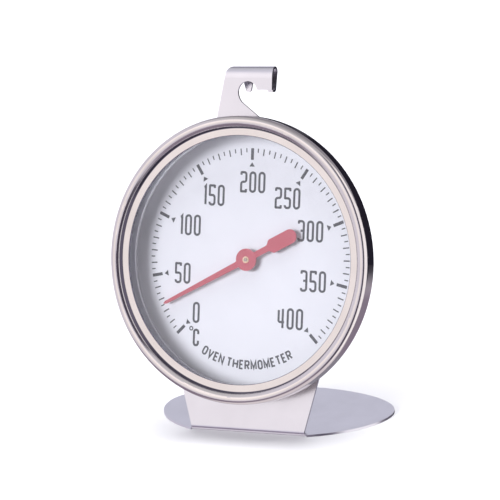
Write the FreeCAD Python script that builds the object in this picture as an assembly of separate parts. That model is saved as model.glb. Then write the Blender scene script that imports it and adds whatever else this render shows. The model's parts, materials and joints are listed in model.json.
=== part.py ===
import FreeCAD, Part

import math
import os

from FreeCAD import Placement, Rotation, Vector

# Oven thermometer: a round dial in a pressed steel case, carried by one bent steel strip that is
# foot, back plate and hanging hook in one.
#
# World frame: +Z up, the foot's underside at Z = 0, the middle of the foot's oval at the origin,
# the dial facing -Y.
# Dial frame: X to the right, Y up the dial, Z straight out towards the reader. The printed face is
# Z = 0 and the dial's centre is the origin. Everything but the foot is drawn in the dial frame.
# The strip is bent a little askew of the case, as on the real piece, so the case's axis lies
# slightly to the right of the foot's middle.

# --- driving dimensions (mm, degrees) --------------------------------------------------------
LEAN = 15.5                  # the dial leans back by this much
DIAL_CENTRE = (0.75, -6.95, 37.25)   # in the world frame
DIAL_CLOCKING = 1.2          # the dial plate sits turned clockwise in its case

# temperature scale: 0 to 400 degrees C over 270 degrees of arc, with 200 at the top
TEMP_SPAN = 400.0
SCALE_SWEEP = 270.0
TEMP_AT_REST = 25.0

# pressed case
CASE_SHEET = 0.4
CASE_WALL_R = 29.1           # outside of the case's round wall
CASE_RIM_R = 30.5            # the wall's turned-out rim, which the bezel grips
CASE_RIM_Z = 3.7             # back face of that rim
SEAT_INNER_R = 26.5          # the ledge that the dial plate rests on
FLOOR_Z = -0.8               # inside of the case's flat floor
LEDGE_R = 15.8               # round step that the bearing bridge sits in
LEDGE_Z = -1.4
CHAMBER_R = 12.0             # inside of the coil chamber at the back
CHAMBER_Z = -7.0             # inside of its end wall
DRAW_RADIUS = 0.8            # bend radius of the deep drawn corners
PRESS_INNER_R = 0.1          # and of the shallow steps, inside and outside
PRESS_OUTER_R = 0.2
SEAT_SLANT = 0.2
VENT_COUNT = 6
VENT_WIDTH = 1.8
VENT_CORNER_R = 0.85
VENT_INNER_R = 4.6
VENT_OUTER_R = 9.6

# dial plate, spacer and glass, stacked between the seat and the bezel's lip
DIAL_THICKNESS = 0.4
DIAL_R = 28.5
DIAL_HOLE_R = 1.8
SPACER_OUTER_R = 28.6
SPACER_INNER_R = 28.1
SPACER_LIP_R = 27.8          # small foot along the bottom of the spacer
SPACER_LIP_HEIGHT = 0.3
SPACER_HEIGHT = 4.1
GLASS_R = 30.0
GLASS_THICKNESS = 1.6
GLASS_EDGE_R = 0.2           # its edges are rounded off

# rolled bezel ring
BEZEL_SHEET = 0.4
BEZEL_EDGE_ROUNDING = 0.12
BEZEL_LIP_R = 26.9           # the opening that the dial is read through
BEZEL_GROOVE_R = 28.6        # groove between the flat lip and the bead
BEZEL_GROOVE_BEND = 0.12
SHOULDER_R = 28.87           # where the steep side of the groove turns into the bead's inner slope
SHOULDER_BEND = 0.5
BEAD_SLOPE = 28.0            # degrees, of that slope
BEAD_R = 1.2                 # outside radius of the bead's section
BEAD_CENTRE_R = 30.0
BEAD_CENTRE_Z = 6.15
SKIRT_CURL_R = 29.7          # inner edge of the skirt's curled-in end
SKIRT_END_Z = 3.3
SKIRT_BEND = 0.35

# foot, back plate and hook: one strip of sheet
STAND_SHEET = 0.5
STAND_FRONT_Z = -1.2         # front of the back plate, against the case's floor
BEND_INNER_R = 0.6
FOOT_HALF_WIDTH = 27.7
FOOT_FRONT_SEMI = 17.9       # the oval's half depth in front of its middle
FOOT_REAR_SEMI = 14.0        # and behind it
PANEL_HALF_WIDTH = 13.9      # at the bend
PANEL_FLARE = 15.6           # the panel's edges spread by this much going up
BEND_RELIEF = 0.3            # slits beside the bend
PLATE_R = 25.4               # round middle of the back plate
PLATE_HOLE_R = 16.5          # clears the case's stepped back

# hook, in the dial frame
HOOK_TOP_Y = 42.05
HOOK_CORNER_X = -7.1
HOOK_CORNER_R = 1.6
STRAP_FOOT_ANGLE = 115.3     # where the strap's left edge leaves the round middle
ARM_END_X = 4.0              # free end of the hook's arm
ARM_BOTTOM_Y = 36.9
THROAT_CENTRE = (-1.9, 36.45)
THROAT_R = 2.33
THROAT_EXIT_R = 3.1          # the throat opens into a sloping edge through this radius
THROAT_SLOPE = 36.8          # of the edge below the hook, down to the right
FOLD_LEAN = 26.0             # degrees that the arm curves back gently before its fold
FOLD_LEAN_R = 3.75
FOLD_INNER_R = 0.7           # the arm's top edge is folded over to the back
FOLD_EXTRA = 8.0             # and closes in by this angle
FLAP_LENGTH = 3.8            # of the folded-over flap, down to the lip at its end
FLAP_SHORT = 3.3             # of its middle stretch
FLAP_START_X = 0.5
LIP_START_X = 2.8            # only the flap's outer end is turned in to a lip
LIP_R = 0.35
LIP_TURN = 84.0
LIP_LENGTH = 0.8
HOOK_DEPTH = 10.0            # deeper than the whole fold
TONGUE = ((-6.1, 41.7, 0), (-5.7, 39.6, 0.5), (-3.8, 38.6, 0.6), (-3.0, 36.5, 0.5),
          (-1.9, 36.5, 0.5), (-1.6, 39.4, 0.4), (0.5, 39.4, 0), (0.5, 41.7, 0))   # x, y, corner radius

# rivets that hold the back plate to the case
RIVET_CIRCLE_R = 20.9
RIVET_ANGLES = (35, 145, 215, 325)
RIVET_SHANK_R = 1.0
RIVET_HEAD_R = 1.7
RIVET_HEAD_INSIDE = 0.3
RIVET_HEAD_OUTSIDE = 0.6
RIVET_HEAD_ROUNDING = 0.48

# bearing bridge across the mouth of the coil chamber
BRIDGE_THICKNESS = 0.8
BRIDGE_HALF_LENGTH = 15.5
BRIDGE_WIDTH = 6.0
BRIDGE_END_R = 2.7
BRIDGE_RIVET_X = 13.9
BRIDGE_RIVET_SHANK_R = 0.6
BRIDGE_RIVET_HEAD_R = 1.0
BRIDGE_RIVET_HEAD = 0.15
BRIDGE_RIVET_TAIL = 0.4

# spindle and its bearings
SPINDLE_R = 0.6
SPINDLE_SEAT_R = 0.4         # turned down where the pointer's bush and the rear bearing go
SPINDLE_FRONT_Z = 1.75
SPINDLE_FRONT_STEP_Z = 0.5
SPINDLE_REAR_STEP_Z = -6.2
SPINDLE_REAR_Z = -7.3
RUNNING_CLEARANCE = 0.03
FRONT_BEARING_R = 1.5
FRONT_BEARING_FLANGE_R = 2.3
FRONT_BEARING_FRONT_Z = 0.1
FRONT_BEARING_FLANGE = 0.45
REAR_BEARING_R = 1.4
REAR_BEARING_FLANGE_R = 2.4
REAR_BEARING_FLANGE = 0.75
REAR_BEARING_END_Z = -8.0
REAR_BEARING_ROUNDING = 0.3
WASHER_R = 1.6
WASHER_THICKNESS = 0.2
WASHER_GAP = 0.05

# pointer
POINTER_THICKNESS = 0.4
POINTER_FRONT_Z = 1.5
POINTER_HUB_R = 2.42
POINTER_TIP_R = 22.7
POINTER_TIP_POINT = 0.6      # length of the ground point
POINTER_ROOT_HALF = 0.70     # half widths of the blade at hub and tip
POINTER_TIP_HALF = 0.34
POINTER_TIP_ROUNDING = 0.2
POINTER_TIP_FLAT = 0.05
NECK_HALF = 0.65
NECK_END_R = 5.9
NECK_CORNER_R = 0.4
PADDLE_START_R = 6.8
PADDLE_END_R = 13.35
PADDLE_HALF = 1.57
PADDLE_CORNER_R = 0.6
PADDLE_END_ROUNDING = 1.54
BUSH_R = 0.75
BUSH_FLANGE_R = 1.3
BUSH_FLANGE = 0.3
BUSH_LIP_Z = 1.62
BUSH_GAP = 0.05              # between the bush and the spindle's shoulder

# bimetal coil, its collet on the spindle and its anchor in the case
COIL_THICKNESS = 0.3
COIL_WIDTH = 3.2
COIL_FRONT_Z = -2.4
COIL_INNER_R = 2.6
COIL_HALF_TURN_STEP = 0.7
COIL_HALF_TURNS = 10
COIL_TAB_DEPTH = 1.5         # the inner end is turned into the collet's slot
COLLET_R = 1.95
COLLET_OVERHANG = 0.2
SLOT_CLEARANCE = 0.06
ANCHOR_R = 0.9
ANCHOR_SHANK_R = 0.6
ANCHOR_HEAD_R = 1.1
ANCHOR_HEAD = 0.4

# --- derived places ----------------------------------------------------------------------------
GLASS_FRONT_Z = SPACER_HEIGHT + GLASS_THICKNESS
CHAMBER_END_Z = CHAMBER_Z - CASE_SHEET
FRONT_BEARING_REAR_Z = LEDGE_Z - FRONT_BEARING_FLANGE
POINTER_BACK_Z = POINTER_FRONT_Z - POINTER_THICKNESS
COIL_REAR_Z = COIL_FRONT_Z - COIL_WIDTH
COLLET_FRONT_Z = COIL_FRONT_Z + COLLET_OVERHANG
COLLET_REAR_Z = COIL_REAR_Z - COLLET_OVERHANG
SLOT_WIDTH = COIL_THICKNESS + 2 * SLOT_CLEARANCE
ANCHOR_X = -(COIL_INNER_R + (COIL_HALF_TURNS + 0.5) * COIL_HALF_TURN_STEP)

# the bend's axis in the side plane, inside the angle of foot and panel and its radius from both
LEAN_SIN, LEAN_COS = math.sin(math.radians(LEAN)), math.cos(math.radians(LEAN))
STAND_REAR_Z = STAND_FRONT_Z - STAND_SHEET
STAND_MIDDLE_X = -DIAL_CENTRE[0]
BEND_OUTER_R = BEND_INNER_R + STAND_SHEET
BEND_DROP = BEND_OUTER_R - DIAL_CENTRE[2]
BEND_SETBACK = (BEND_INNER_R - STAND_REAR_Z + BEND_DROP * LEAN_SIN) / LEAN_COS
BEND_AXIS_Y = DIAL_CENTRE[1] + BEND_SETBACK
PANEL_BOTTOM_Y = BEND_SETBACK * LEAN_SIN + BEND_DROP * LEAN_COS
FOLD_DROP = (FOLD_LEAN_R - FOLD_INNER_R) * math.sin(math.radians(FOLD_LEAN))
FOLD_Y = HOOK_TOP_Y - STAND_SHEET - FOLD_INNER_R - FOLD_DROP

UP = Vector(0, 0, 1)
ORIGIN = Vector(0, 0, 0)
DIAL_PLACEMENT = Placement(Vector(*DIAL_CENTRE), Rotation(Vector(1, 0, 0), 90 - LEAN))

os.makedirs("parts", exist_ok=True)

TOLERANCE = 1e-6
OVERCUT = 1.0                # a cutting solid runs past the sheet by this much


# --- drawing helpers ---------------------------------------------------------------------------
def flat(x, y):
    return Vector(x, y, 0)


def rounded_wire(corners, place):
    """Closed outline through (u, v, radius) corners; place turns (u, v) into a Vector."""
    def towards(start, end, distance):
        length = math.dist(start, end)
        return tuple(s + (e - s) * distance / length for s, e in zip(start, end))

    arcs = []
    for index, (u, v, radius) in enumerate(corners):
        here = (u, v)
        before = corners[index - 1][:2]
        after = corners[(index + 1) % len(corners)][:2]
        if radius == 0:
            arcs.append((here, None, here))
            continue
        way_in = math.atan2(before[1] - v, before[0] - u)
        way_out = math.atan2(after[1] - v, after[0] - u)
        half = abs((way_out - way_in + math.pi) % (2 * math.pi) - math.pi) / 2
        first = towards(here, before, radius / math.tan(half))
        last = towards(here, after, radius / math.tan(half))
        chord_middle = tuple((a + b) / 2 for a, b in zip(first, last))
        middle = towards(here, chord_middle, radius / math.sin(half) - radius)
        arcs.append((first, middle, last))

    edges = []
    for index, (first, middle, last) in enumerate(arcs):
        if middle:
            edges.append(Part.Arc(place(*first), place(*middle), place(*last)).toShape())
        following = arcs[(index + 1) % len(arcs)][0]
        if math.dist(last, following) > TOLERANCE:
            edges.append(Part.LineSegment(place(*last), place(*following)).toShape())
    return Part.Wire(edges)


def mirrored_wire(corners):
    """Outline from the (x, y, radius) corners of its right half."""
    return rounded_wire(corners + [(-x, y, radius) for x, y, radius in reversed(corners)], flat)


def turned(corners):
    """Solid of revolution about the dial's axis from (radius, z, corner radius) points."""
    return Part.Face(rounded_wire(corners, lambda r, z: Vector(r, 0, z))).revolve(ORIGIN, UP, 360)


def sheet(wire, z_low, z_high):
    """Flat plate in the dial frame between two heights."""
    plate = Part.Face(wire).extrude(Vector(0, 0, z_high - z_low))
    plate.translate(Vector(0, 0, z_low))
    return plate


def rod(radius, z_low, z_high, x=0.0, y=0.0):
    return Part.makeCylinder(radius, z_high - z_low, Vector(x, y, z_low), UP)


def tube(outer, inner, z_low, z_high):
    return rod(outer, z_low, z_high).cut(rod(inner, z_low, z_high))


def edges_at(shape, z):
    return [edge for edge in shape.Edges if abs(edge.CenterOfMass.z - z) < TOLERANCE]


def polar(radius, degrees):
    angle = math.radians(degrees)
    return radius * math.cos(angle), radius * math.sin(angle)


def line(start, end):
    return Part.LineSegment(flat(*start), flat(*end)).toShape()


def arc(start, middle, end):
    return Part.Arc(flat(*start), flat(*middle), flat(*end)).toShape()


def bent_strip(start, heading, runs, x_low, x_high):
    """Sheet of STAND_SHEET that follows a path in the side plane, given as (y, z), and spans X.

    runs holds ("line", length) and ("arc", inner radius, turn), a positive turn being to the left.
    """
    half = STAND_SHEET / 2
    position = Vector(0, *start)
    left_edges = []
    right_edges = []
    for run in runs:
        along = Vector(0, *polar(1, heading))
        to_left = Vector(0, *polar(1, heading + 90))
        if run[0] == "line":
            ahead = position + along * run[1]
            left_edges.append(Part.LineSegment(position + to_left * half, ahead + to_left * half))
            right_edges.append(Part.LineSegment(position - to_left * half, ahead - to_left * half))
            position = ahead
            continue
        radius, turn = run[1] + half, run[2]
        side = math.copysign(1, turn)
        centre = position + to_left * (side * radius)
        headings = [heading, heading + turn / 2, heading + turn]
        spokes = [Vector(0, *polar(side, angle - 90)) for angle in headings]
        for edges, reach in ((left_edges, radius - side * half), (right_edges, radius + side * half)):
            edges.append(Part.Arc(*[centre + spoke * reach for spoke in spokes]))
        heading += turn
        position = centre + spokes[2] * radius
    first_cap = Part.LineSegment(left_edges[0].StartPoint, right_edges[0].StartPoint)
    last_cap = Part.LineSegment(left_edges[-1].EndPoint, right_edges[-1].EndPoint)
    outline = [edge.toShape() for edge in left_edges + [last_cap] + right_edges + [first_cap]]
    strip = Part.Face(Part.Wire(Part.__sortEdges__(outline))).extrude(Vector(x_high - x_low, 0, 0))
    strip.translate(Vector(x_low, 0, 0))
    return strip


def save(name, shape, in_dial_frame=True):
    if in_dial_frame:
        shape = shape.copy()
        shape.Placement = DIAL_PLACEMENT.multiply(shape.Placement)
    print(name, "solids", len(shape.Solids), "valid", shape.isValid(), "volume", round(shape.Volume, 2))
    shape.exportStep("parts/" + name + ".step")


# --- foot, back plate and hook -------------------------------------------------------------------
def panel_edge(side):
    """Lower and upper end of the panel's flared edge, up to the plate's round middle."""
    foot_x = STAND_MIDDLE_X + side * PANEL_HALF_WIDTH
    way = (side * math.sin(math.radians(PANEL_FLARE)), math.cos(math.radians(PANEL_FLARE)))
    along = foot_x * way[0] + PANEL_BOTTOM_Y * way[1]
    reach = -along - math.sqrt(along ** 2 - math.hypot(foot_x, PANEL_BOTTOM_Y) ** 2 + PLATE_R ** 2)
    return (foot_x, PANEL_BOTTOM_Y), (foot_x + reach * way[0], PANEL_BOTTOM_Y + reach * way[1])


def around(centre, radius, angles):
    return [(centre[0] + polar(radius, angle)[0], centre[1] + polar(radius, angle)[1]) for angle in angles]


def front_outline():
    """Outline of the back plate and hook as seen from the front."""
    left_foot, left_top = panel_edge(-1)
    right_foot, right_top = panel_edge(1)
    strap_foot = polar(PLATE_R, STRAP_FOOT_ANGLE)

    # the rounded corner between the strap's left edge and the top
    strap_angle = math.degrees(math.atan2(HOOK_TOP_Y - strap_foot[1], HOOK_CORNER_X - strap_foot[0]))
    trim = HOOK_CORNER_R * math.tan(math.radians(strap_angle / 2))
    corner_centre = (HOOK_CORNER_X + trim, HOOK_TOP_Y - HOOK_CORNER_R)
    corner = around(corner_centre, HOOK_CORNER_R, (90 + strap_angle, 90 + strap_angle / 2, 90))

    # the throat: most of a circle, then a wider arc that turns into the sloping edge
    arm_angle = math.degrees(math.asin((ARM_BOTTOM_Y - THROAT_CENTRE[1]) / THROAT_R))
    throat = around(THROAT_CENTRE, THROAT_R, (arm_angle, 100, 180))
    exit_centre = (THROAT_CENTRE[0] - THROAT_R + THROAT_EXIT_R, THROAT_CENTRE[1])
    slope_normal = 270 - THROAT_SLOPE
    throat_exit = around(exit_centre, THROAT_EXIT_R, (180, (180 + slope_normal) / 2, slope_normal))
    slope_foot = polar(PLATE_R, 90 - THROAT_SLOPE)

    return Part.Wire([
        line(left_foot, left_top), arc(left_top, (-PLATE_R, 0), strap_foot), line(strap_foot, corner[0]),
        arc(*corner), line(corner[2], (ARM_END_X, HOOK_TOP_Y)),
        line((ARM_END_X, HOOK_TOP_Y), (ARM_END_X, ARM_BOTTOM_Y)), line((ARM_END_X, ARM_BOTTOM_Y), throat[0]),
        arc(*throat), arc(*throat_exit), line(throat_exit[2], slope_foot),
        arc(slope_foot, (PLATE_R, 0), right_top), line(right_top, right_foot), line(right_foot, left_foot)])


def foot_plate():
    """The foot's oval, cut off in front along the bend, with a slit beside each end of the bend."""
    oval = []
    for semi, first in ((FOOT_REAR_SEMI, 0), (FOOT_FRONT_SEMI, math.pi)):
        ellipse = Part.Ellipse(ORIGIN, FOOT_HALF_WIDTH, semi)
        oval.append(Part.ArcOfEllipse(ellipse, first, first + math.pi).toShape())
    plate = Part.Face(Part.Wire(oval)).extrude(Vector(0, 0, STAND_SHEET))
    slit_half = PANEL_HALF_WIDTH + BEND_RELIEF
    for half_width, back_y in ((FOOT_HALF_WIDTH, BEND_AXIS_Y - BEND_OUTER_R), (slit_half, BEND_AXIS_Y)):
        corner = Vector(-half_width, back_y - FOOT_FRONT_SEMI, 0)
        plate = plate.cut(Part.makeBox(2 * half_width, FOOT_FRONT_SEMI, STAND_SHEET, corner))
    return plate


def hook_fold(outline):
    """The arm's folded-over top edge, with the flap, lip and tongue that hang down behind the arm."""
    middle_z = STAND_FRONT_Z - STAND_SHEET / 2
    turn = -(180 + FOLD_EXTRA)
    runs = [("arc", FOLD_LEAN_R, -FOLD_LEAN), ("arc", FOLD_INNER_R, turn + FOLD_LEAN)]
    fold = bent_strip((FOLD_Y, middle_z), 0, runs, STAND_MIDDLE_X - HOOK_DEPTH, ARM_END_X)
    fold = fold.common(sheet(outline, -HOOK_DEPTH, 0))

    lean_spoke = polar(FOLD_LEAN_R - FOLD_INNER_R, 90 - FOLD_LEAN)
    end_spoke = polar(FOLD_INNER_R + STAND_SHEET / 2, 90 + turn)
    lean_centre_z = middle_z - FOLD_LEAN_R - STAND_SHEET / 2
    start = (FOLD_Y + lean_spoke[0] - end_spoke[0], lean_centre_z + lean_spoke[1] + end_spoke[1])
    flap = bent_strip(start, turn, [("line", FLAP_SHORT)], FLAP_START_X, LIP_START_X)
    lip = bent_strip(start, turn, [("line", FLAP_LENGTH), ("arc", LIP_R, -LIP_TURN), ("line", LIP_LENGTH)],
                     LIP_START_X, ARM_END_X)
    tongue = bent_strip(start, turn, [("line", 2 * FLAP_LENGTH)], TONGUE[0][0], FLAP_START_X)
    tongue = tongue.common(sheet(rounded_wire(TONGUE, flat), -HOOK_DEPTH, 0))
    return [fold, flap, lip, tongue]


def hanger_stand():
    bend = bent_strip((BEND_AXIS_Y, STAND_SHEET / 2), 180, [("arc", BEND_INNER_R, -(90 + LEAN))],
                      -PANEL_HALF_WIDTH, PANEL_HALF_WIDTH)
    outline = front_outline()
    upright = sheet(outline, STAND_REAR_Z, STAND_FRONT_Z)
    above_fold = Part.makeBox(2 * PLATE_R, HOOK_TOP_Y, STAND_SHEET, Vector(-PLATE_R, FOLD_Y, STAND_REAR_Z))
    upright = upright.cut(above_fold).cut(rod(PLATE_HOLE_R, STAND_REAR_Z, STAND_FRONT_Z))
    for angle in RIVET_ANGLES:
        upright = upright.cut(rod(RIVET_SHANK_R, STAND_REAR_Z, STAND_FRONT_Z, *polar(RIVET_CIRCLE_R, angle)))
    upright = upright.fuse(hook_fold(outline))
    upright.Placement = DIAL_PLACEMENT.multiply(upright.Placement)
    return foot_plate().fuse([bend, upright]).removeSplitter()


def stand_rivets():
    rivets = []
    for angle in RIVET_ANGLES:
        x, y = polar(RIVET_CIRCLE_R, angle)
        rear = STAND_REAR_Z - RIVET_HEAD_OUTSIDE
        rivet = rod(RIVET_HEAD_R, FLOOR_Z, FLOOR_Z + RIVET_HEAD_INSIDE, x, y)
        rivet = rivet.fuse(rod(RIVET_SHANK_R, STAND_REAR_Z, FLOOR_Z, x, y))
        head = rod(RIVET_HEAD_R, rear, STAND_REAR_Z, x, y)
        head = head.makeFillet(RIVET_HEAD_ROUNDING, edges_at(head, rear))
        rivets.append(rivet.fuse(head).removeSplitter())
    return Part.Compound(rivets)


# --- case ------------------------------------------------------------------------------------------
def case_pan():
    t = CASE_SHEET
    sharp = PRESS_INNER_R
    soft = PRESS_OUTER_R
    seat_z = FLOOR_Z + t
    inside = [(CASE_RIM_R, CASE_RIM_Z + t, 0), (CASE_WALL_R - t, CASE_RIM_Z + t, soft),
              (CASE_WALL_R - t, seat_z, 0), (SEAT_INNER_R, seat_z, sharp),
              (SEAT_INNER_R - SEAT_SLANT, FLOOR_Z, sharp),
              (LEDGE_R, FLOOR_Z, sharp), (LEDGE_R, LEDGE_Z, 0), (CHAMBER_R, LEDGE_Z, soft),
              (CHAMBER_R, CHAMBER_Z, DRAW_RADIUS - t), (REAR_BEARING_R, CHAMBER_Z, 0)]
    outside = [(REAR_BEARING_R, CHAMBER_END_Z, 0), (CHAMBER_R + t, CHAMBER_END_Z, DRAW_RADIUS),
               (CHAMBER_R + t, LEDGE_Z - t, sharp), (LEDGE_R + t, LEDGE_Z - t, soft),
               (LEDGE_R + t, FLOOR_Z - t, sharp), (SEAT_INNER_R, FLOOR_Z - t, soft),
               (SEAT_INNER_R + SEAT_SLANT, seat_z - t, sharp), (CASE_WALL_R, seat_z - t, DRAW_RADIUS),
               (CASE_WALL_R, CASE_RIM_Z, sharp), (CASE_RIM_R, CASE_RIM_Z, 0)]
    pan = turned(inside + outside)
    half = VENT_WIDTH / 2
    vent_corners = [(VENT_INNER_R, -half), (VENT_OUTER_R, -half), (VENT_OUTER_R, half), (VENT_INNER_R, half)]
    vent_wire = rounded_wire([(x, y, VENT_CORNER_R) for x, y in vent_corners], flat)
    for number in range(VENT_COUNT):
        vent = sheet(vent_wire, CHAMBER_END_Z - OVERCUT, CHAMBER_Z + OVERCUT)
        vent.rotate(ORIGIN, UP, (number + 0.5) * 360 / VENT_COUNT)
        pan = pan.cut(vent)
    for angle in RIVET_ANGLES:
        pan = pan.cut(rod(RIVET_SHANK_R, FLOOR_Z - OVERCUT, FLOOR_Z + OVERCUT, *polar(RIVET_CIRCLE_R, angle)))
    for x in (-BRIDGE_RIVET_X, BRIDGE_RIVET_X):
        pan = pan.cut(rod(BRIDGE_RIVET_SHANK_R, LEDGE_Z - OVERCUT, LEDGE_Z + OVERCUT, x))
    return pan.cut(rod(ANCHOR_SHANK_R, CHAMBER_END_Z - OVERCUT, CHAMBER_Z + OVERCUT, ANCHOR_X))


def rolled_ring(outside, thickness):
    """Ring rolled from sheet that lies to the right of its outside, a path of (radius, z, bend) corners.

    The first corner's bend rounds off the edge of the sheet there.
    """
    def heading(start, end):
        return Vector(end[0] - start[0], end[1] - start[1], 0).normalize()

    headings = [heading(*ends) for ends in zip(outside, outside[1:])]
    inside = []
    for index, (r, z, bend) in enumerate(outside):
        is_end = index in (0, len(outside) - 1)
        before = headings[max(index - 1, 0)]
        after = headings[min(index, len(headings) - 1)]
        across = Vector(before.y + after.y, -before.x - after.x, 0) * (thickness / (1 + before.dot(after)))
        to_left = before.cross(after).z > 0
        inner_bend = 0 if is_end else max(0, bend + (thickness if to_left else -thickness))
        inside.append((r + across.x, z + across.y, inner_bend))
    return turned(list(outside) + inside[::-1])


def bezel_ring():
    """Flat lip, groove, bead with a sloping inner side, and a skirt that is curled in behind the rim."""
    lip_z = GLASS_FRONT_Z + BEZEL_SHEET
    skirt_r = BEAD_CENTRE_R + BEAD_R
    corner_z = BEAD_CENTRE_Z + BEAD_R * math.tan(math.radians((90 + BEAD_SLOPE) / 2))
    shoulder_z = corner_z - (skirt_r - SHOULDER_R) * math.tan(math.radians(BEAD_SLOPE))
    return rolled_ring([(BEZEL_LIP_R, lip_z, BEZEL_EDGE_ROUNDING), (BEZEL_GROOVE_R, lip_z, BEZEL_GROOVE_BEND),
                        (SHOULDER_R, shoulder_z, SHOULDER_BEND), (skirt_r, corner_z, BEAD_R),
                        (skirt_r, SKIRT_END_Z, SKIRT_BEND), (SKIRT_CURL_R, SKIRT_END_Z, 0)], BEZEL_SHEET)


def spacer_ring():
    return turned([(SPACER_OUTER_R, 0, 0), (SPACER_OUTER_R, SPACER_HEIGHT, 0),
                   (SPACER_INNER_R, SPACER_HEIGHT, 0), (SPACER_INNER_R, SPACER_LIP_HEIGHT, PRESS_OUTER_R),
                   (SPACER_LIP_R, SPACER_LIP_HEIGHT, PRESS_INNER_R), (SPACER_LIP_R, 0, 0)])


def glass_lens():
    return turned([(0, SPACER_HEIGHT, 0), (GLASS_R, SPACER_HEIGHT, GLASS_EDGE_R),
                   (GLASS_R, GLASS_FRONT_Z, GLASS_EDGE_R), (0, GLASS_FRONT_Z, 0)])


def dial_plate():
    return tube(DIAL_R, DIAL_HOLE_R, -DIAL_THICKNESS, 0)


# --- movement ----------------------------------------------------------------------------------------
def bearing_bridge():
    half = BRIDGE_WIDTH / 2
    outline = mirrored_wire([(BRIDGE_HALF_LENGTH, side, BRIDGE_END_R) for side in (-half, half)])
    bar = sheet(outline, LEDGE_Z, LEDGE_Z + BRIDGE_THICKNESS)
    bar = bar.cut(rod(FRONT_BEARING_R, LEDGE_Z, 0))
    for x in (-BRIDGE_RIVET_X, BRIDGE_RIVET_X):
        bar = bar.cut(rod(BRIDGE_RIVET_SHANK_R, LEDGE_Z, 0, x))
    return bar


def bridge_rivets():
    top = LEDGE_Z + BRIDGE_THICKNESS
    bottom = LEDGE_Z - CASE_SHEET
    rivets = []
    for x in (-BRIDGE_RIVET_X, BRIDGE_RIVET_X):
        rivet = rod(BRIDGE_RIVET_SHANK_R, bottom, top, x)
        rivet = rivet.fuse(rod(BRIDGE_RIVET_HEAD_R, top, top + BRIDGE_RIVET_HEAD, x))
        rivet = rivet.fuse(rod(BRIDGE_RIVET_HEAD_R, bottom - BRIDGE_RIVET_TAIL, bottom, x))
        rivets.append(rivet.removeSplitter())
    return Part.Compound(rivets)


def front_bearing():
    bush = rod(FRONT_BEARING_R, FRONT_BEARING_REAR_Z, FRONT_BEARING_FRONT_Z)
    bush = bush.fuse(rod(FRONT_BEARING_FLANGE_R, FRONT_BEARING_REAR_Z, LEDGE_Z)).removeSplitter()
    return bush.cut(rod(SPINDLE_R + RUNNING_CLEARANCE, FRONT_BEARING_REAR_Z, FRONT_BEARING_FRONT_Z))


def rear_bearing():
    bush = rod(REAR_BEARING_FLANGE_R, CHAMBER_Z, CHAMBER_Z + REAR_BEARING_FLANGE)
    bush = bush.fuse(rod(REAR_BEARING_R, REAR_BEARING_END_Z, CHAMBER_Z)).removeSplitter()
    blind_end = SPINDLE_REAR_Z - WASHER_GAP
    bush = bush.cut(rod(SPINDLE_SEAT_R + RUNNING_CLEARANCE, blind_end, CHAMBER_Z + REAR_BEARING_FLANGE))
    return bush.makeFillet(REAR_BEARING_ROUNDING, edges_at(bush, REAR_BEARING_END_Z))


def spindle():
    shaft = rod(SPINDLE_R, SPINDLE_REAR_STEP_Z, SPINDLE_FRONT_STEP_Z)
    shaft = shaft.fuse(rod(SPINDLE_SEAT_R, SPINDLE_FRONT_STEP_Z, SPINDLE_FRONT_Z))
    return shaft.fuse(rod(SPINDLE_SEAT_R, SPINDLE_REAR_Z, SPINDLE_REAR_STEP_Z)).removeSplitter()


def washer(front_z):
    return tube(WASHER_R, SPINDLE_R, front_z - WASHER_THICKNESS, front_z)


def coil_edge(offset, reverse):
    """One face of the spiral: half circles about two alternating centres, each a step wider."""
    arcs = []
    centre = 0.0
    for number in range(COIL_HALF_TURNS):
        side = 1 if number % 2 == 0 else -1
        radius = COIL_INNER_R + (number + 0.5) * COIL_HALF_TURN_STEP + offset
        spots = [Vector(centre - side * radius, 0, 0), Vector(centre, side * radius, 0),
                 Vector(centre + side * radius, 0, 0)]
        arcs.append(Part.Arc(*(reversed(spots) if reverse else spots)).toShape())
        centre -= side * COIL_HALF_TURN_STEP
    return arcs[::-1] if reverse else arcs


def bimetal_coil():
    half = COIL_THICKNESS / 2
    inward = coil_edge(-half, False)
    outward = coil_edge(half, True)
    start = inward[0].Vertexes[0].Point
    start_outer = outward[-1].Vertexes[-1].Point
    end = inward[-1].Vertexes[-1].Point
    end_outer = outward[0].Vertexes[0].Point
    # the inner end is turned square into the collet
    tab_x = start.x + COIL_TAB_DEPTH
    tab = [flat(start_outer.x, -COIL_THICKNESS), flat(tab_x, -COIL_THICKNESS), flat(tab_x, 0)]
    chain = [start_outer] + tab + [start]
    edges = inward + [Part.LineSegment(end, end_outer).toShape()] + outward
    edges += [Part.LineSegment(a, b).toShape() for a, b in zip(chain, chain[1:])]
    return sheet(Part.Wire(edges), COIL_REAR_Z, COIL_FRONT_Z)


def strip_slot(length, width):
    """Cutter, centred on the axis, that leaves room for the strip from its rear edge forwards."""
    corner = Vector(-length / 2, -width / 2, COIL_REAR_Z - SLOT_CLEARANCE)
    return Part.makeBox(length, width, COIL_WIDTH + 2 * OVERCUT, corner)


def coil_collet():
    tab_tip_x = -(COIL_INNER_R + COIL_HALF_TURN_STEP / 2) + COIL_THICKNESS / 2 + COIL_TAB_DEPTH
    slot = strip_slot(2 * COLLET_R, SLOT_WIDTH)
    slot.translate(Vector(tab_tip_x + SLOT_CLEARANCE - COLLET_R, -COIL_THICKNESS / 2, 0))
    return tube(COLLET_R, SPINDLE_R, COLLET_REAR_Z, COLLET_FRONT_Z).cut(slot)


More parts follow.
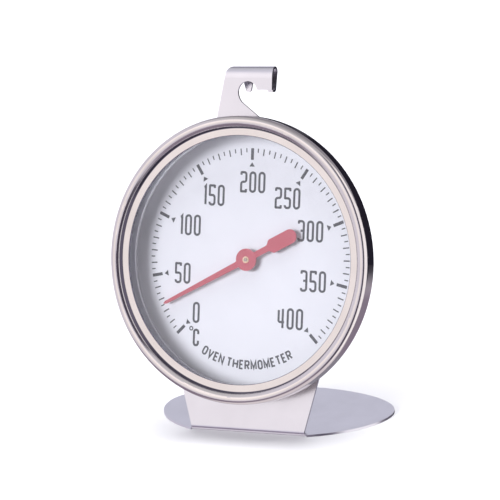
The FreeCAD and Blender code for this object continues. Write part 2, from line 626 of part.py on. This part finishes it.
def coil_anchor():
    post = rod(ANCHOR_R, CHAMBER_Z, COLLET_FRONT_Z, ANCHOR_X)
    post = post.fuse(rod(ANCHOR_SHANK_R, CHAMBER_END_Z, CHAMBER_Z, ANCHOR_X))
    post = post.fuse(rod(ANCHOR_HEAD_R, CHAMBER_END_Z - ANCHOR_HEAD, CHAMBER_END_Z, ANCHOR_X))
    slot = strip_slot(SLOT_WIDTH, 2 * ANCHOR_HEAD_R)
    slot.translate(Vector(ANCHOR_X, 0, 0))
    return post.removeSplitter().cut(slot)


# --- pointer -------------------------------------------------------------------------------------------
def at_rest(shape):
    """Turn a shape drawn pointing up the dial to the temperature shown at rest."""
    clockwise = (TEMP_AT_REST / TEMP_SPAN - 0.5) * SCALE_SWEEP + DIAL_CLOCKING
    shape.rotate(ORIGIN, UP, -clockwise)
    return shape


def pointer():
    shoulder_r = POINTER_TIP_R - POINTER_TIP_POINT
    needle = mirrored_wire([(POINTER_ROOT_HALF, 0, 0), (POINTER_TIP_HALF, shoulder_r, POINTER_TIP_ROUNDING),
                            (POINTER_TIP_FLAT, POINTER_TIP_R, 0)])
    tail = mirrored_wire([(NECK_HALF, 0, 0), (NECK_HALF, -NECK_END_R, NECK_CORNER_R),
                          (PADDLE_HALF, -PADDLE_START_R, PADDLE_CORNER_R),
                          (PADDLE_HALF, -PADDLE_END_R, PADDLE_END_ROUNDING)])
    arms = [sheet(outline, POINTER_BACK_Z, POINTER_FRONT_Z) for outline in (needle, tail)]
    blade = rod(POINTER_HUB_R, POINTER_BACK_Z, POINTER_FRONT_Z).fuse(arms)
    return at_rest(blade.removeSplitter().cut(rod(BUSH_R, POINTER_BACK_Z, POINTER_FRONT_Z)))


def pointer_bush():
    bush = rod(BUSH_R, SPINDLE_FRONT_STEP_Z + BUSH_GAP, BUSH_LIP_Z)
    bush = bush.fuse(rod(BUSH_FLANGE_R, POINTER_BACK_Z - BUSH_FLANGE, POINTER_BACK_Z)).removeSplitter()
    return bush.cut(rod(SPINDLE_SEAT_R, SPINDLE_FRONT_STEP_Z, BUSH_LIP_Z))


save("hanger_stand", hanger_stand(), in_dial_frame=False)
save("stand_rivets", stand_rivets())
save("case_pan", case_pan())
save("bezel_ring", bezel_ring())
save("spacer_ring", spacer_ring())
save("glass_lens", glass_lens())
save("dial_plate", dial_plate())
save("bearing_bridge", bearing_bridge())
save("bridge_rivets", bridge_rivets())
save("front_bearing", front_bearing())
save("rear_bearing", rear_bearing())
save("spindle", spindle())
save("front_washer", washer(FRONT_BEARING_REAR_Z - WASHER_GAP))
save("rear_washer", washer(COLLET_REAR_Z))
save("coil_collet", coil_collet())
save("bimetal_coil", bimetal_coil())
save("coil_anchor", coil_anchor())
save("pointer", pointer())
save("pointer_bush", pointer_bush())
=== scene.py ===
import json
import math

import bmesh
import bpy
from mathutils import Matrix, Vector


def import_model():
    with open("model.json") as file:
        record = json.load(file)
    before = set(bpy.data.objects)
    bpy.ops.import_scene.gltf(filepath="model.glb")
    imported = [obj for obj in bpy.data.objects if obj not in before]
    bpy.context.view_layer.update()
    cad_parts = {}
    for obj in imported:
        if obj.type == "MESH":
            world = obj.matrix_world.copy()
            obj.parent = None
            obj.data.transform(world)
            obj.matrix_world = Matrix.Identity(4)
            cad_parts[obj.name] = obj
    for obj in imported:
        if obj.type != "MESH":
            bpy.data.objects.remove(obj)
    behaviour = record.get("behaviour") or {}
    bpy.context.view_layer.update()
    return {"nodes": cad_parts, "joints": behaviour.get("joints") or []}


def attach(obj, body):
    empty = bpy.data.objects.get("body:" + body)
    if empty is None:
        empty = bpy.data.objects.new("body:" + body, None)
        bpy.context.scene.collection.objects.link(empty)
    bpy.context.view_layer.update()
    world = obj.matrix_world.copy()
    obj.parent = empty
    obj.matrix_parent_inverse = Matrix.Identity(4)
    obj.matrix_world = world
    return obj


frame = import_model()
nodes = frame["nodes"]

# Everything printed on the dial is drawn in millimetres in the dial frame: X to the right, Y up
# the dial, Z out towards the reader, with its origin in the middle of the printed face.
MM = 0.001
POINTER_JOINT = frame["joints"][0]
DIAL_CENTRE = Vector(POINTER_JOINT["pos_m"])
DIAL_OUT = -Vector(POINTER_JOINT["axis"])
DIAL_RIGHT = Vector((1, 0, 0))
DIAL_UP = DIAL_OUT.cross(DIAL_RIGHT)
DIAL_CLOCKING = 1.2          # degrees, the printed plate sits turned clockwise in its case

# printed scale, in millimetres and degrees
SCALE_R = 24.2               # outer ends of the marks
SCALE_MAX = 400
SCALE_SWEEP = 270.0
FINE_STEP = 5                # degrees Celsius from mark to mark, of each kind of mark
TEN_STEP = 10
NUMBER_STEP = 50
FINE_MARK = (23.3, 0.25)     # inner radius and width of each kind
TEN_MARK = (22.75, 0.27)
NUMBER_MARK = (21.7, 0.68)
ARROW_TIP_R = 21.15
ARROW_BASE_R = 20.22
ARROW_HALF_WIDTH = 0.66
INK_HEIGHT = 0.02            # of the ink above the plate
INK_SINK = 0.01              # and how far it reaches into it
STROKE_LIFT = 0.004          # crossing strokes of one figure lie this much on each other
SAME_POINT = 0.001           # points of a stroke closer than this are one
CORNER_STEPS = 6             # straight pieces in a rounded corner
MITRE_LIMIT = 0.35           # keeps the sharp corners of a stroke from reaching out to a spike

# numbers: tall narrow figures of one stroke width
FIGURE_SIZE = (1.21, 4.16)   # of the stroke's middle line
FIGURE_STROKE = 0.50
FIGURE_GAP = 1.0             # between the middle lines of neighbours
NUMBER_PLACES = {0: (-12.55, -12.3), 50: (-16.25, -3.8), 100: (-14.6, 6.85), 150: (-8.95, 13.65),
                 200: (0.3, 16.85), 250: (8.85, 13.7), 300: (14.6, 6.85), 350: (15.65, -3.9),
                 400: (10.5, -12.3)}
UNIT_C_PLACE = (-12.4, -17.8)
UNIT_C_SIZE = (1.05, 3.4)
UNIT_RING_PLACE = (-13.65, -15.85)
UNIT_RING_R = 0.38
UNIT_RING_STROKE = 0.26
UNIT_RING_STEP = 15          # degrees from point to point round the ring

# words along the bottom
WORDS = "OVEN THERMOMETER"
WORDS_R = 20.8               # radius of the middle of the letters
WORDS_CENTRE = Vector((0, -2.2))    # of their arc, which is a little rounder than the dial
WORDS_TURN = 0.8             # degrees, to the right of straight down
LETTER_HEIGHT = 1.72         # of the stroke's middle line
LETTER_STROKE = 0.38
LETTER_GAP = 0.60            # between the middle lines of neighbours
WORD_GAP = 1.05              # and across the space between the words

# Each stroke: (closed, corner rounding, corners), in a cell one wide and one high. A corner with a
# third value has its own rounding, as a share of the cell's width.
FIGURES = {
    "0": [(True, 0.5, [(0, 0), (0, 1), (1, 1), (1, 0)])],
    "1": [(False, 0, [(-0.22, 0.90), (0, 0.97), (0, 0)])],
    "2": [(False, 0.42, [(0, 0.86), (0, 1, 0.1), (1, 1), (1, 0.5), (0, 0.5), (0, 0, 0.02),
                         (1, 0, 0.02), (1, 0.13)])],
    "3": [(False, 0.42, [(0, 0.87), (0, 1, 0.1), (1, 1), (1, 0), (0, 0, 0.25), (0, 0.13)]),
          (False, 0, [(0.38, 0.51), (1, 0.51)])],
    "4": [(False, 0.3, [(0, 0.93), (0, 0.31), (1.12, 0.31)]), (False, 0, [(0.82, 1), (0.82, 0)])],
    "5": [(False, 0.42, [(1, 0.87), (1, 1, 0.05), (0, 1, 0.05), (0, 0.5, 0.02), (1, 0.5), (1, 0),
                         (0, 0), (0, 0.14)])],
    "C": [(False, 0.5, [(1, 0.72), (1, 1), (0, 1), (0, 0), (1, 0), (1, 0.3)])],
    "O": [(True, 0.48, [(0, 0), (0, 1), (1, 1), (1, 0)])],
    "V": [(False, 0, [(0, 1), (0.5, 0), (1, 1)])],
    "E": [(False, 0, [(1, 1), (0, 1), (0, 0), (1, 0)]), (False, 0, [(0, 0.52), (0.86, 0.52)])],
    "N": [(False, 0, [(0, 0), (0, 1), (1, 0), (1, 1)])],
    "T": [(False, 0, [(0, 1), (1, 1)]), (False, 0, [(0.5, 1), (0.5, 0)])],
    "H": [(False, 0, [(0, 0), (0, 1)]), (False, 0, [(1, 0), (1, 1)]), (False, 0, [(0, 0.5), (1, 0.5)])],
    "R": [(False, 0.36, [(0, 0), (0, 1, 0), (1, 1), (1, 0.48), (0, 0.48, 0)]),
          (False, 0, [(0.5, 0.48), (1, 0)])],
    "M": [(False, 0, [(0, 0), (0, 1), (0.5, 0.12), (1, 1), (1, 0)])],
}
LETTER_WIDTHS = {"O": 0.86, "V": 1.0, "E": 0.72, "N": 0.96, "T": 0.92, "H": 1.0, "R": 0.88, "M": 1.14}


# --- printing -----------------------------------------------------------------------------------
def dial_matrix():
    """Takes the printed plate's millimetres to the row frame."""
    axes = Matrix((DIAL_RIGHT, DIAL_UP, DIAL_OUT)).transposed().to_4x4()
    turn = Matrix.Rotation(math.radians(-DIAL_CLOCKING), 4, "Z")
    return Matrix.Translation(DIAL_CENTRE) @ axes @ turn @ Matrix.Scale(MM, 4)


def rounded_path(corners, closed):
    """Points along a path of (x, y, radius) corners, each corner turned into an arc."""
    points = []
    count = len(corners)

    def add(point):
        if not points or (point - points[-1]).length > SAME_POINT:
            points.append(point)

    for index, (x, y, radius) in enumerate(corners):
        here = Vector((x, y))
        if radius <= 0 or (not closed and index in (0, count - 1)):
            add(here)
            continue
        before = Vector(corners[index - 1][:2]) - here
        after = Vector(corners[(index + 1) % count][:2]) - here
        half = before.angle(after) / 2
        reach = radius / math.tan(half)
        centre = here + (before.normalized() + after.normalized()).normalized() * (radius / math.sin(half))
        first = here + before.normalized() * reach - centre
        swing = first.angle_signed(here + after.normalized() * reach - centre)
        for step in range(CORNER_STEPS + 1):
            add(centre + Matrix.Rotation(-swing * step / CORNER_STEPS, 2) @ first)
    if closed and (points[-1] - points[0]).length < SAME_POINT:
        points.pop()
    return points


def skin(mesh, rings, closed):
    """Joins rings of corners into a tube, and caps its ends unless it closes on itself."""
    sides = len(rings[0])
    joints = len(rings) if closed else len(rings) - 1
    for index in range(joints):
        here, there = rings[index], rings[(index + 1) % len(rings)]
        for side in range(sides):
            after = (side + 1) % sides
            mesh.faces.new((here[side], here[after], there[after], there[side]))
    if not closed:
        mesh.faces.new(rings[0][::-1])
        mesh.faces.new(rings[-1])


def stroke(mesh, points, width, closed=False, lift=0.0):
    """Adds a flat ribbon of ink along the points, as a closed solid."""
    count = len(points)
    low, high = -INK_SINK, INK_HEIGHT + lift
    rings = []
    for index, point in enumerate(points):
        before = point - points[index - 1] if closed or index else points[1] - point
        after = points[(index + 1) % count] - point if closed or index < count - 1 else before
        way = (before.normalized() + after.normalized()).normalized()
        reach = width / 2 / max(MITRE_LIMIT, way.dot(before.normalized()))
        mitre = Vector((-way.y, way.x)) * reach
        sides = ((point + mitre, low), (point - mitre, low), (point - mitre, high), (point + mitre, high))
        rings.append([mesh.verts.new((spot.x, spot.y, z)) for spot, z in sides])
    skin(mesh, rings, closed)


def figure(mesh, name, size, width, place):
    """Draws one letter or digit; place turns a cell's (x, y) in millimetres into the dial's."""
    for layer, (closed, rounding, corners) in enumerate(FIGURES[name]):
        path = []
        for corner in corners:
            radius = corner[2] if len(corner) > 2 else rounding
            path.append((corner[0] * size[0], corner[1] * size[1], radius * size[0]))
        points = [place(point) for point in rounded_path(path, closed)]
        stroke(mesh, points, width, closed, layer * STROKE_LIFT)


def printed(name, mesh, material):
    """Turns a mesh drawn on the dial into a piece that rides on the case."""
    bmesh.ops.recalc_face_normals(mesh, faces=mesh.faces)
    data = bpy.data.meshes.new(name)
    mesh.to_mesh(data)
    mesh.free()
    data.transform(dial_matrix())
    data.materials.append(material)
    piece = bpy.data.objects.new(name, data)
    bpy.context.scene.collection.objects.link(piece)
    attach(piece, "case")


def scale_angle(temperature):
    """Degrees clockwise from the top of the dial."""
    return (temperature / SCALE_MAX - 0.5) * SCALE_SWEEP


def on_dial(angle, radius, across=0.0):
    """Place at an angle clockwise from the top of the dial; across is further clockwise."""
    turn = math.radians(angle)
    outward = Vector((math.sin(turn), math.cos(turn)))
    return outward * radius + Vector((outward.y, -outward.x)) * across


def scale_marks(ink):
    mesh = bmesh.new()
    for temperature in range(0, SCALE_MAX + 1, FINE_STEP):
        inner_r, width = FINE_MARK
        if temperature % NUMBER_STEP == 0:
            inner_r, width = NUMBER_MARK
        elif temperature % TEN_STEP == 0:
            inner_r, width = TEN_MARK
        angle = scale_angle(temperature)
        stroke(mesh, [on_dial(angle, inner_r), on_dial(angle, SCALE_R)], width)
    printed("scale_marks", mesh, ink)


def scale_arrows(ink):
    """A small arrow head inside each numbered mark, which points at it."""
    mesh = bmesh.new()
    for temperature in range(0, SCALE_MAX + 1, NUMBER_STEP):
        angle = scale_angle(temperature)
        outline = [on_dial(angle, ARROW_TIP_R), on_dial(angle, ARROW_BASE_R, ARROW_HALF_WIDTH),
                   on_dial(angle, ARROW_BASE_R, -ARROW_HALF_WIDTH)]
        rings = [[mesh.verts.new((p.x, p.y, z)) for p in outline] for z in (-INK_SINK, INK_HEIGHT)]
        skin(mesh, rings, closed=False)
    printed("scale_arrows", mesh, ink)


def scale_numbers(ink):
    mesh = bmesh.new()
    for temperature, (middle_x, middle_y) in NUMBER_PLACES.items():
        digits = str(temperature)
        widths = [0 if digit == "1" else FIGURE_SIZE[0] for digit in digits]    # a 1 is one stroke
        left = middle_x - (sum(widths) + FIGURE_GAP * (len(digits) - 1)) / 2
        for digit, width in zip(digits, widths):
            corner = Vector((left, middle_y - FIGURE_SIZE[1] / 2))
            figure(mesh, digit, FIGURE_SIZE, FIGURE_STROKE, lambda point: point + corner)
            left += width + FIGURE_GAP
    printed("scale_numbers", mesh, ink)


def unit_mark(ink):
    mesh = bmesh.new()
    corner = Vector(UNIT_C_PLACE) - Vector(UNIT_C_SIZE) / 2
    figure(mesh, "C", UNIT_C_SIZE, FIGURE_STROKE, lambda point: point + corner)
    middle = Vector(UNIT_RING_PLACE)
    ring = [middle + on_dial(angle, UNIT_RING_R) for angle in range(0, 360, UNIT_RING_STEP)]
    stroke(mesh, ring, UNIT_RING_STROKE, closed=True)
    printed("unit_mark", mesh, ink)


def word_layout():
    """Each letter of the words with its middle, measured along their line, and the line's length."""
    middles = []
    along = 0.0
    for letter in WORDS:
        if letter == " ":
            along += WORD_GAP - LETTER_GAP
            continue
        width = LETTER_WIDTHS[letter]
        middles.append((letter, along + width / 2))
        along += width + LETTER_GAP
    return middles, along - LETTER_GAP


def dial_words(ink):
    """The words run along an arc with the tops of the letters towards the dial's centre."""
    mesh = bmesh.new()
    middles, length = word_layout()
    for letter, middle in middles:
        width = LETTER_WIDTHS[letter]
        turn = 180 - WORDS_TURN - math.degrees((middle - length / 2) / WORDS_R)

        def place(point):
            radius = WORDS_R - (point.y - LETTER_HEIGHT / 2)
            return WORDS_CENTRE + on_dial(turn, radius, width / 2 - point.x)

        figure(mesh, letter, (width, LETTER_HEIGHT), LETTER_STROKE, place)
    printed("dial_words", mesh, ink)


# --- materials ----------------------------------------------------------------------------------
NOISE_LOW = 0.3              # nearly all of a noise's values lie between these
NOISE_HIGH = 0.7
PAINTED_SHADE_BLUE = 0.8              # painted shade takes a little less from the blue: its share to this power
METAL_VARIES = 0.2           # share by which the roughness goes up and down
PAINT_VARIES = 0.15


class Wiring:
    """Short hand for a tree of nodes."""

    def __init__(self, tree):
        self.tree = tree

    def feed(self, socket, value):
        """Gives a socket a value, or the output of another node."""
        if isinstance(value, bpy.types.NodeSocket):
            self.tree.links.new(value, socket)
        else:
            socket.default_value = value

    def fill(self, node, *values, **settings):
        """Gives a node's sockets the values in order, and each setting to the attribute or else
        the socket of its name."""
        for key, value in settings.items():
            if hasattr(node, key):
                setattr(node, key, value)
            else:
                self.feed(node.inputs[key.replace("_", " ")], value)
        for socket, value in zip(node.inputs, values):
            self.feed(socket, value)
        return node

    def node(self, kind, *values, **settings):
        return self.fill(self.tree.nodes.new(kind), *values, **settings)

    def math(self, operation, *values):
        return self.node("ShaderNodeMath", *values, operation=operation).outputs["Value"]

    def mix(self, factor, first, second, blend_type="MIX"):
        return self.node("ShaderNodeMixRGB", factor, first, second, blend_type=blend_type).outputs["Color"]

    def ramp(self, value, stops):
        """Colours that run from stop to stop; each stop is (value, colour)."""
        first, last = stops[0][0], stops[-1][0]
        along = self.node("ShaderNodeMapRange", value, From_Min=first, From_Max=last)
        made = self.node("ShaderNodeValToRGB", along.outputs["Result"])
        elements = made.color_ramp.elements
        for place, _ in stops[1:-1]:
            elements.new((place - first) / (last - first))
        for element, (_, colour) in zip(elements, stops):
            element.color = (*colour, 1)
        return made.outputs["Color"]

    def within(self, offset, half, softness):
        """1 within half of no offset, falling to 0 over the softness."""
        made = self.node("ShaderNodeMapRange", self.math("ABSOLUTE", offset),
                         interpolation_type="SMOOTHSTEP",
                         From_Min=half + softness, From_Max=half - softness)
        return made.outputs["Result"]


class Finish(Wiring):
    """A material, to whose shader colour, roughness and relief are added."""

    def __init__(self, name, **sockets):
        self.material = bpy.data.materials.new(name)
        self.material.use_nodes = True
        super().__init__(self.material.node_tree)
        self.shader = self.fill(self.tree.nodes["Principled BSDF"], **sockets)
        self.place = self.node("ShaderNodeTexCoord").outputs["Object"]

    def noise(self, scale, detail, stretch=(1, 1, 1), roughness=0.5):
        """Noise in the row frame; scale is in features per metre, stretch scales each axis."""
        place = self.node("ShaderNodeMapping", self.place, Scale=stretch).outputs["Vector"]
        made = self.node("ShaderNodeTexNoise", place, Scale=scale, Detail=detail, Roughness=roughness)
        return made.outputs["Fac"]

    def tint(self, noise, dark, light):
        colour = self.ramp(noise, [(NOISE_LOW, dark), (NOISE_HIGH, light)])
        self.feed(self.shader.inputs["Base Color"], colour)

    def roughness(self, noise, low, high):
        made = self.node("ShaderNodeMapRange", noise, From_Min=NOISE_LOW, From_Max=NOISE_HIGH,
                         To_Min=low, To_Max=high)
        self.feed(self.shader.inputs["Roughness"], made.outputs["Result"])

    def bump(self, height, distance_mm):
        """Adds relief to what relief the shader has."""
        made = self.node("ShaderNodeBump", Height=height, Distance=distance_mm * MM)
        normal = self.shader.inputs["Normal"]
        if normal.is_linked:
            self.feed(made.inputs["Normal"], normal.links[0].from_socket)
        self.feed(normal, made.outputs["Normal"])

    def shade_by_radius(self, stops):
        """Paints shade into the base colour by the distance from the dial's axis; stops are (mm, share)."""
        place = self.place
        for operation, vector in (("SUBTRACT", DIAL_CENTRE), ("CROSS_PRODUCT", DIAL_OUT)):
            place = self.node("ShaderNodeVectorMath", place, vector, operation=operation).outputs["Vector"]
        radius = self.node("ShaderNodeVectorMath", place, operation="LENGTH").outputs["Value"]
        # painted shade: a ramp of dark shares by radius, a little bluer
        painted_shade = self.ramp(radius, [(stop * MM, (share, share, share ** PAINTED_SHADE_BLUE)) for stop, share in stops])
        base = self.shader.inputs["Base Color"]
        self.feed(base, self.mix(1, base.links[0].from_socket, painted_shade, "MULTIPLY"))


def metal(name, dark, light, rough, grain_mm, grain_scale):
    """Bare metal: faint clouds of colour, grain in the roughness and a fine relief."""
    made = Finish(name, Metallic=1.0)
    grain = made.noise(grain_scale, detail=2)
    made.tint(made.noise(90, detail=4), dark, light)
    made.roughness(grain, rough * (1 - METAL_VARIES), rough * (1 + METAL_VARIES))
    made.bump(grain, grain_mm)
    return made.material


def stand_steel():
    """Rolled sheet: bright, with blurred clouds and faint rolling lines up the strip."""
    made = Finish("stand_steel", Metallic=1.0)
    clouds = made.noise(70, detail=5, roughness=0.6)
    lines = made.noise(3000, detail=2, stretch=(1, 0.02, 0.02))
    made.tint(clouds, (0.85, 0.84, 0.87), (0.92, 0.91, 0.94))
    made.roughness(made.noise(160, detail=4), 0.23, 0.27)
    made.bump(lines, 0.0004)
    made.bump(clouds, 0.004)
    return made.material


# Painted shade on the bezel: share of light that its colour keeps, by the radius in millimetres.
BEZEL_PAINTED_SHADE = (
    (26.8, 0.25), (26.96, 0.3), (27.06, 1),                    # painted shade on the cut edge of the lip
    (28.38, 1), (28.52, 0.15), (28.82, 0.15), (28.94, 0.9),    # painted shade in the groove by the bead
    (29.2, 1),
)


def bezel_steel():
    """Rolled and polished ring, finely uneven, with painted shade on the cut edge of the lip and in the
    groove.
    """
    made = Finish("bezel_steel", Metallic=1.0)
    clouds = made.noise(120, detail=4)
    made.tint(clouds, (0.84, 0.79, 0.75), (0.91, 0.86, 0.82))
    # painted shade along the lip's cut edge and in the groove by the bead
    made.shade_by_radius(BEZEL_PAINTED_SHADE)
    made.roughness(made.noise(400, detail=4), 0.10, 0.17)
    made.bump(made.noise(900, detail=2), 0.0006)
    return made.material


def painted(name, dark, light, rough, coat=0.0):
    """Paint or ink: nearly even, with a faint relief; a coat makes it glossier."""
    made = Finish(name, Coat_Weight=coat, Coat_Roughness=0.1)
    made.tint(made.noise(260, detail=4), dark, light)
    made.roughness(made.noise(900, detail=3), rough * (1 - PAINT_VARIES), rough * (1 + PAINT_VARIES))
    made.bump(made.noise(1800, detail=2), 0.0015)
    return made.material


def lens_glass():
    """Clear flat glass that lets lamps through, with a trace of smear in its polish."""
    made = Finish("lens_glass", Transmission_Weight=1.0, IOR=1.5, Base_Color=(0.985, 0.992, 0.99, 1))
    made.roughness(made.noise(60, detail=5), 0.0, 0.012)
    clear = made.node("ShaderNodeBsdfTransparent", Color=(0.96, 0.97, 0.97, 1)).outputs["BSDF"]
    shadow_ray = made.node("ShaderNodeLightPath").outputs["Is Shadow Ray"]
    mixed = made.node("ShaderNodeMixShader", shadow_ray, made.shader.outputs["BSDF"], clear)
    made.feed(made.tree.nodes["Material Output"].inputs["Surface"], mixed.outputs["Shader"])
    return made.material


# Bare metals: darkest and lightest colour, roughness, height of the grain in millimetres, its
# features per metre, and the nodes that are made of it.
METALS = {
    "case_steel": ((0.68, 0.66, 0.66), (0.76, 0.74, 0.74), 0.22, 0.002, 700, ("case_pan",)),
    "rivet_steel": ((0.55, 0.55, 0.56), (0.66, 0.66, 0.67), 0.32, 0.003, 1500,
                    ("stand_rivets", "bridge_rivets", "coil_anchor")),
    "bridge_steel": ((0.52, 0.52, 0.53), (0.62, 0.62, 0.63), 0.35, 0.003, 1200, ("bearing_bridge",)),
    "spacer_aluminium": ((0.70, 0.70, 0.74), (0.77, 0.77, 0.81), 0.38, 0.0002, 900, ("spacer_ring",)),
    "spindle_steel": ((0.50, 0.43, 0.37), (0.60, 0.52, 0.45), 0.2, 0.001, 3000, ("spindle",)),
    "bearing_brass": ((0.66, 0.50, 0.24), (0.78, 0.62, 0.34), 0.26, 0.002, 1800,
                      ("front_bearing", "rear_bearing", "front_washer", "rear_washer", "coil_collet")),
    "bush_brass": ((0.86, 0.64, 0.47), (0.94, 0.73, 0.56), 0.25, 0.001, 2500, ("pointer_bush",)),
    "bimetal": ((0.46, 0.42, 0.38), (0.60, 0.56, 0.50), 0.3, 0.002, 1400, ("bimetal_coil",)),
}


def dress(material, *names):
    for name in names:
        nodes[name].data.materials.clear()
        nodes[name].data.materials.append(material)


def dress_all():
    for name, (dark, light, rough, grain_mm, grain_scale, wearers) in METALS.items():
        dress(metal(name, dark, light, rough, grain_mm, grain_scale), *wearers)
    dress(stand_steel(), "hanger_stand")
    dress(bezel_steel(), "bezel_ring")
    dress(painted("dial_white", (0.735, 0.725, 0.805), (0.755, 0.745, 0.825), 0.42), "dial_plate")
    dress(painted("pointer_red", (0.43, 0.088, 0.122), (0.48, 0.108, 0.15), 0.32, coat=0.4), "pointer")
    dress(lens_glass(), "glass_lens")


# --- studio -------------------------------------------------------------------------------------
CAMERA_AZIMUTH = 28.3
CAMERA_ELEVATION = 16.03
CAMERA_ROLL = -6.4
CAMERA_DISTANCE = 0.605      # from the dial's centre
CAMERA_LENS = 200.17         # millimetres, like the sensor
CAMERA_SENSOR = 36
CAMERA_SHIFT = (-0.0004, 0.019)
CAMERA_CLIP = (0.01, 20)
FLOOR_R = 4.0                # metres
FLOOR_SEGMENTS = 96


def direction(azimuth, elevation):
    """Unit vector away from the dial. Azimuth 0 is in front of it and grows to the right."""
    turn, rise = math.radians(azimuth), math.radians(elevation)
    return Vector((math.sin(turn) * math.cos(rise), -math.cos(turn) * math.cos(rise), math.sin(rise)))


def camera():
    roll = math.radians(CAMERA_ROLL)
    back = direction(CAMERA_AZIMUTH, CAMERA_ELEVATION)
    level = Vector((0, 0, 1)).cross(back).normalized()
    upright = back.cross(level)
    right = level * math.cos(roll) + upright * math.sin(roll)
    axes = Matrix((right, back.cross(right), back)).transposed().to_4x4()
    data = bpy.data.cameras.new("camera")
    data.lens = CAMERA_LENS
    data.sensor_width = CAMERA_SENSOR
    data.shift_x, data.shift_y = CAMERA_SHIFT
    data.clip_start, data.clip_end = CAMERA_CLIP
    made = bpy.data.objects.new("camera", data)
    made.matrix_world = Matrix.Translation(DIAL_CENTRE + back * CAMERA_DISTANCE) @ axes
    bpy.context.scene.collection.objects.link(made)
    bpy.context.scene.camera = made


def soft_light(name, azimuth, elevation, spread, brightness):
    """Soft lamp; matt white that faces it gets this brightness. It lights, but metal doesn't
    mirror it: what metal mirrors is the studio of world()."""
    away = direction(azimuth, elevation)
    data = bpy.data.lights.new(name, "SUN")
    data.angle = math.radians(spread)
    data.energy = brightness * math.pi
    made = bpy.data.objects.new(name, data)
    made.location = DIAL_CENTRE + away
    made.rotation_euler = away.to_track_quat("Z", "Y").to_euler()
    made.visible_glossy = False
    made.visible_transmission = False
    bpy.context.scene.collection.objects.link(made)


def floor():
    """White ground that takes the object's shadow, and that neither metal nor matt paint sees."""
    mesh = bmesh.new()
    bmesh.ops.create_circle(mesh, cap_ends=True, segments=FLOOR_SEGMENTS, radius=FLOOR_R)
    data = bpy.data.meshes.new("floor")
    mesh.to_mesh(data)
    mesh.free()
    made = Finish("floor_white", Specular_IOR_Level=0.2)
    made.tint(made.noise(2, detail=2), (0.86, 0.86, 0.87), (0.88, 0.88, 0.89))
    made.roughness(made.noise(40, detail=2), 0.55, 0.65)
    data.materials.append(made.material)
    piece = bpy.data.objects.new("floor", data)
    piece.visible_glossy = False
    piece.visible_diffuse = False
    bpy.context.scene.collection.objects.link(piece)


# What metal mirrors. First the surroundings by elevation in degrees, then the cards and boxes of
# the studio that stand in front of them: azimuth, elevation, half width, half height, softness of
# the edge, colour. Azimuth 0 is in front of the dial, and the camera stands at 28.
SURROUNDINGS = ((-90, (0.72, 0.67, 0.74)), (-56, (0.72, 0.67, 0.74)), (-48, (0.24, 0.20, 0.27)),
                (-28, (0.24, 0.20, 0.27)), (-18, (0.70, 0.67, 0.78)), (40, (0.70, 0.68, 0.80)),
                (60, (0.55, 0.54, 0.58)), (90, (0.32, 0.31, 0.36)))
CARDS = (
    (170, 52, 75, 24, 8, (0.28, 0.27, 0.32)),       # unlit ceiling behind
    (163, 2, 52, 24, 5, (0.016, 0.014, 0.024)),     # black card behind
    (-160, -40, 14, 12, 5, (0.03, 0.025, 0.04)),    # and a small one below it
    (-152, 17, 13, 9, 4, (0.66, 0.66, 0.77)),       # pale wall seen over the black card
    (-26, 14, 20, 20, 12, (0.92, 0.87, 0.90)),      # soft box, left of the camera
    (-26, 30, 22, 12, 8, (1.12, 1.06, 1.10)),       # and its brighter top
    (76, 0, 28, 60, 5, (1.00, 0.97, 1.02)),         # cool one on the right
    (28, 10, 14, 50, 3, (0.07, 0.06, 0.09)),        # camera stand and its operator
)
AMBIENT = (0.155, 0.152, 0.215)    # glow that reaches matt surfaces
BACKDROP = (1, 1, 1)               # what the camera sees behind the object


def world():
    """Matt surfaces get an even glow, metal mirrors the studio's boxes and cards, and straight
    on it is a white backdrop. A matt surface under the glass gets its light by shadow rays that
    pass the glass. Rays that the glass bends would bring it a second time, so they find black."""
    made = bpy.data.worlds.new("studio")
    made.use_nodes = True
    wiring = Wiring(made.node_tree)
    seen_from = wiring.node("ShaderNodeTexCoord").outputs["Generated"]
    x, y, z = wiring.node("ShaderNodeSeparateXYZ", seen_from).outputs
    azimuth = wiring.math("DEGREES", wiring.math("ARCTAN2", x, wiring.math("MULTIPLY", y, -1.0)))
    elevation = wiring.math("DEGREES", wiring.math("ARCSINE", z))
    mirrored = wiring.ramp(elevation, SURROUNDINGS)
    for card_azimuth, card_elevation, half_width, half_height, softness, colour in CARDS:
        aside = wiring.math("WRAP", wiring.math("SUBTRACT", azimuth, card_azimuth), 180, -180)
        above = wiring.math("SUBTRACT", elevation, card_elevation)
        cover = wiring.math("MULTIPLY", wiring.within(aside, half_width, softness),
                            wiring.within(above, half_height, softness))
        mirrored = wiring.mix(cover, mirrored, (*colour, 1))
    path = wiring.node("ShaderNodeLightPath")
    direct = wiring.mix(path.outputs["Is Camera Ray"], (*AMBIENT, 1), (*BACKDROP, 1))
    seen = wiring.mix(path.outputs["Is Glossy Ray"], direct, mirrored)
    from_matt = wiring.math("GREATER_THAN", path.outputs["Diffuse Depth"], 0.5)
    through_glass = wiring.math("MULTIPLY", path.outputs["Is Transmission Ray"], from_matt)
    seen = wiring.mix(through_glass, seen, (0, 0, 0, 1))
    wiring.feed(wiring.tree.nodes["Background"].inputs["Color"], seen)
    bpy.context.scene.world = made


def studio():
    bpy.context.scene.view_settings.view_transform = "Standard"
    camera()
    floor()
    world()
    soft_light("key", azimuth=-27, elevation=20, spread=28, brightness=0.97)
    soft_light("top", azimuth=180, elevation=84, spread=60, brightness=1.12)


dress_all()
ink = painted("dial_ink", (0.065, 0.067, 0.085), (0.08, 0.083, 0.10), 0.5)
scale_marks(ink)
scale_arrows(ink)
scale_numbers(ink)
unit_mark(ink)
dial_words(ink)
studio()
